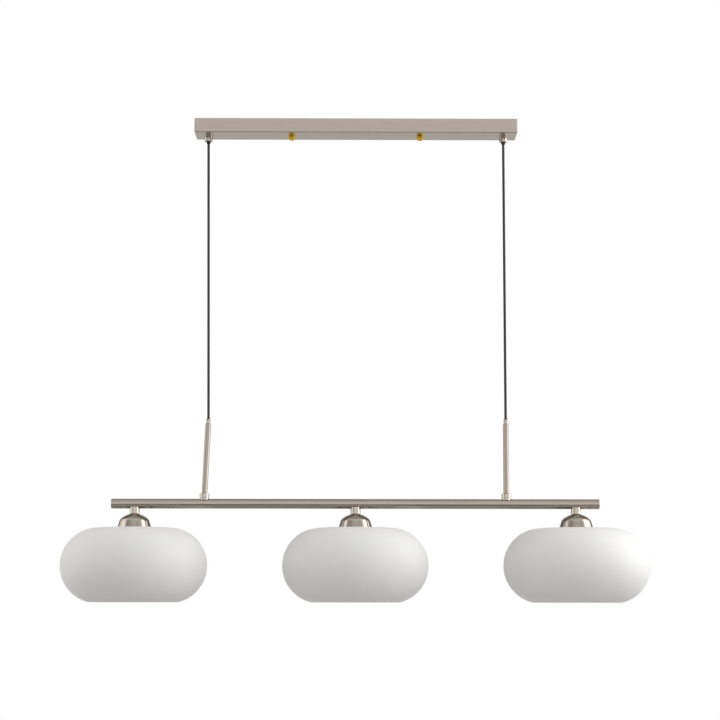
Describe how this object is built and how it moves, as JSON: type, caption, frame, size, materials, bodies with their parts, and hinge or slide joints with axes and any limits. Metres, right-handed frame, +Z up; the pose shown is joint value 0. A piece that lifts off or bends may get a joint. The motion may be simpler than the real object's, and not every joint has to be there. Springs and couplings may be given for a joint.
{
  "type": "linear island pendant",
  "caption": "Linear island pendant: a long satin nickel ceiling canopy, black cords and slim stems that carry a round bar with wide opal glass pebble shades, open below.",
  "frame": {"origin": "on the ceiling plane at the middle of the canopy, on the upper face of the crossbar", "axes": "+X along the canopy and the bar to the right, +Y away from the viewer, +Z up"},
  "size_m": [1.071, 0.266, 0.8919],
  "materials": {
    "satin_nickel": "satin, brushed",
    "polished_nickel": "polished",
    "zinc_steel": "zinc plated",
    "brass": "polished",
    "black_cord": "smooth, slightly glossy",
    "black_rubber": "matt",
    "opal_glass": "matt opal",
    "lamp_glass": "matt opal",
    "lamp_metal": "bright",
    "holder_plastic": "matt",
    "ring_plastic": "matt",
    "contact_metal": "bright",
    "block_plastic": "matt",
    "wire_insulation": "smooth",
    "earth_insulation": "smooth"
  },
  "bodies": {
    "ceiling_fixture": {"mounting_bracket": "zinc_steel", "bracket_studs": "zinc_steel", "stud_nuts": "zinc_steel", "canopy": "satin_nickel", "terminal_block": "block_plastic", "wiring_screws": "zinc_steel", "core_wires": "wire_insulation", "earth_wire": "earth_insulation", "cord_tail_left": "black_cord", "cord_tail_right": "black_cord", "cord_stop": "lamp_metal", "grip_left": "polished_nickel", "grip_right": "polished_nickel", "grip_lock_nuts": "zinc_steel", "grip_set_screws": "zinc_steel"},
    "cord_bushes": {"grip_bushes": "black_rubber"},
    "left_cord": {"cord_left": "black_cord"},
    "left_cord_end": {"stem_bush_left": "black_rubber"},
    "right_cord": {"cord_right": "black_cord"},
    "hanging_frame": {"stem_bush_right": "black_rubber", "ferrule_left": "polished_nickel", "ferrule_right": "polished_nickel", "ferrule_screws": "zinc_steel", "stem_left": "satin_nickel", "stem_right": "satin_nickel", "stem_nipples": "zinc_steel", "stem_cords": "black_cord", "stem_saddle_nuts": "zinc_steel", "collar_left": "polished_nickel", "collar_right": "polished_nickel", "bar_tube": "satin_nickel", "end_cap_left": "satin_nickel", "end_cap_right": "satin_nickel", "bar_wiring": "wire_insulation", "neck_nipples": "zinc_steel", "neck_saddle_nuts": "zinc_steel", "socket_contacts": "contact_metal", "neck_left": "polished_nickel", "dome_left": "satin_nickel", "lampholder_left": "holder_plastic", "shade_left": "opal_glass", "neck_middle": "polished_nickel", "dome_middle": "satin_nickel", "lampholder_middle": "holder_plastic", "shade_middle": "opal_glass", "neck_right": "polished_nickel", "dome_right": "satin_nickel", "lampholder_right": "holder_plastic", "shade_right": "opal_glass"},
    "left_cap_nut": {"cap_nut_left": "brass"},
    "right_cap_nut": {"cap_nut_right": "brass"},
    "left_shade_ring": {"shade_ring_left": "ring_plastic"},
    "left_lamp": {"lamp_cap_left": "lamp_metal", "lamp_globe_left": "lamp_glass"},
    "middle_shade_ring": {"shade_ring_middle": "ring_plastic"},
    "middle_lamp": {"lamp_cap_middle": "lamp_metal", "lamp_globe_middle": "lamp_glass"},
    "right_shade_ring": {"shade_ring_right": "ring_plastic"},
    "right_lamp": {"lamp_cap_right": "lamp_metal", "lamp_globe_right": "lamp_glass"}
  },
  "joints": [
    {"name": "swing_fore_aft", "type": "hinge", "parent": "ceiling_fixture", "child": "cord_bushes", "pos_m": [0, 0, -0.038], "axis": [1, 0, 0], "range_deg": [-10, 10]},
    {"name": "swing_sideways", "type": "hinge", "parent": "cord_bushes", "child": "left_cord", "pos_m": [-0.2755, 0, -0.038], "axis": [0, 1, 0], "range_deg": [-10, 10]},
    {"name": "height_adjust", "type": "slide", "parent": "left_cord", "child": "left_cord_end", "axis": [0, 0, 1], "range_m": [0, 0.35], "deforming": ["cord_left", "cord_right"]},
    {"name": "frame_stays_level", "type": "hinge", "parent": "left_cord_end", "child": "hanging_frame", "pos_m": [-0.26978, 0, -0.55812], "axis": [0, 1, 0], "range_deg": [-10, 10]},
    {"name": "right_cord_swing", "type": "hinge", "parent": "cord_bushes", "child": "right_cord", "pos_m": [0.2755, 0, -0.038], "axis": [0, 1, 0], "range_deg": [-10, 10]},
    {"name": "left_ring_turn", "type": "hinge", "parent": "hanging_frame", "child": "left_shade_ring", "pos_m": [-0.4025, 0, -0.75944], "axis": [0, 0, 1], "continuous": true},
    {"name": "left_lamp_turn", "type": "hinge", "parent": "hanging_frame", "child": "left_lamp", "pos_m": [-0.4025, 0, -0.75944], "axis": [0, 0, 1], "continuous": true},
    {"name": "middle_ring_turn", "type": "hinge", "parent": "hanging_frame", "child": "middle_shade_ring", "pos_m": [0, 0, -0.75944], "axis": [0, 0, 1], "continuous": true},
    {"name": "middle_lamp_turn", "type": "hinge", "parent": "hanging_frame", "child": "middle_lamp", "pos_m": [0, 0, -0.75944], "axis": [0, 0, 1], "continuous": true},
    {"name": "right_ring_turn", "type": "hinge", "parent": "hanging_frame", "child": "right_shade_ring", "pos_m": [0.4025, 0, -0.75944], "axis": [0, 0, 1], "continuous": true},
    {"name": "right_lamp_turn", "type": "hinge", "parent": "hanging_frame", "child": "right_lamp", "pos_m": [0.4025, 0, -0.75944], "axis": [0, 0, 1], "continuous": true},
    {"name": "left_cap_nut_turn", "type": "hinge", "parent": "ceiling_fixture", "child": "left_cap_nut", "pos_m": [-0.12, 0, -0.03], "axis": [0, 0, 1], "continuous": true},
    {"name": "right_cap_nut_turn", "type": "hinge", "parent": "ceiling_fixture", "child": "right_cap_nut", "pos_m": [0.12, 0, -0.03], "axis": [0, 0, 1], "continuous": true}
  ],
  "couplings": [
    {"joint": "frame_stays_level", "follows": "swing_sideways", "ratio": -1},
    {"joint": "right_cord_swing", "follows": "swing_sideways", "ratio": 1}
  ]
}
